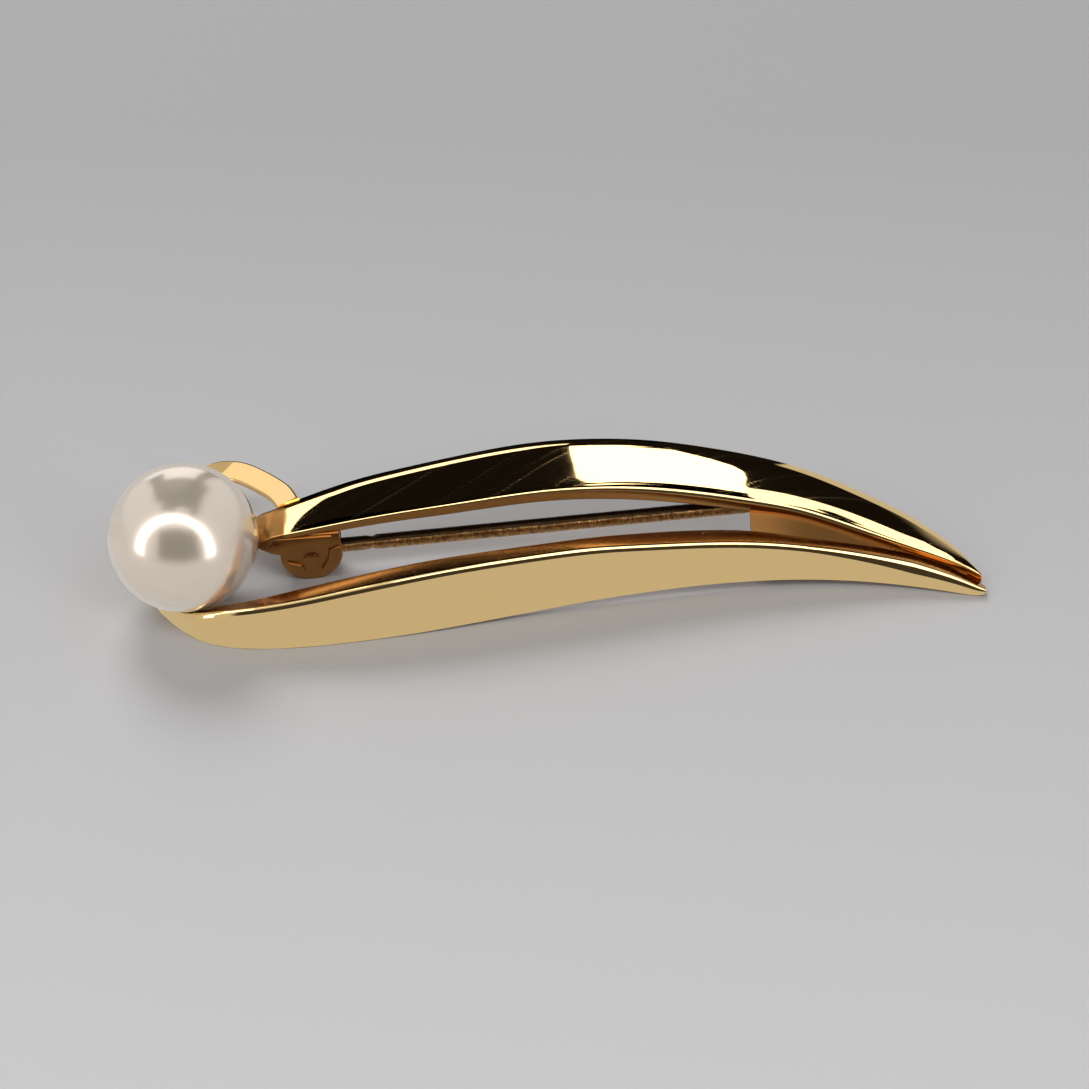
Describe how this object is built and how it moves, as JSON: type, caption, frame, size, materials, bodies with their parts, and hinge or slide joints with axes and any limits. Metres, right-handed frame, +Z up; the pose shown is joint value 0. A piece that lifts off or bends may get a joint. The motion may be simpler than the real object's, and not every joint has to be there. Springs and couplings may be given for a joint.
{
  "type": "pearl brooch",
  "caption": "Gold brooch of two sweeping ribbons that meet in a point, with a round pearl in the curl and a hinged pin with a catch behind.",
  "frame": {"origin": "middle of the object in plan, at the surface it lies on", "axes": "+X along the brooch towards its point, +Y away from the tall front ribbon, +Z up from the surface"},
  "size_m": [0.0458, 0.012, 0.0084],
  "materials": {
    "gold": "polished yellow gold with fine hairlines",
    "pearl": "lustrous cream pearl",
    "pin_gold": "drawn gold wire, less polished"
  },
  "bodies": {
    "brooch": {"brooch_frame": "gold", "pearl": "pearl", "hinge_rivet": "pin_gold"},
    "pin": {"pin_stem": "pin_gold"}
  },
  "joints": [
    {"name": "pin_swing", "type": "hinge", "parent": "brooch", "child": "pin", "pos_m": [-0.01283, 0.00085, 0.00135], "axis": [-0.1139, 0.9935, 0], "range_deg": [0, 95]}
  ]
}
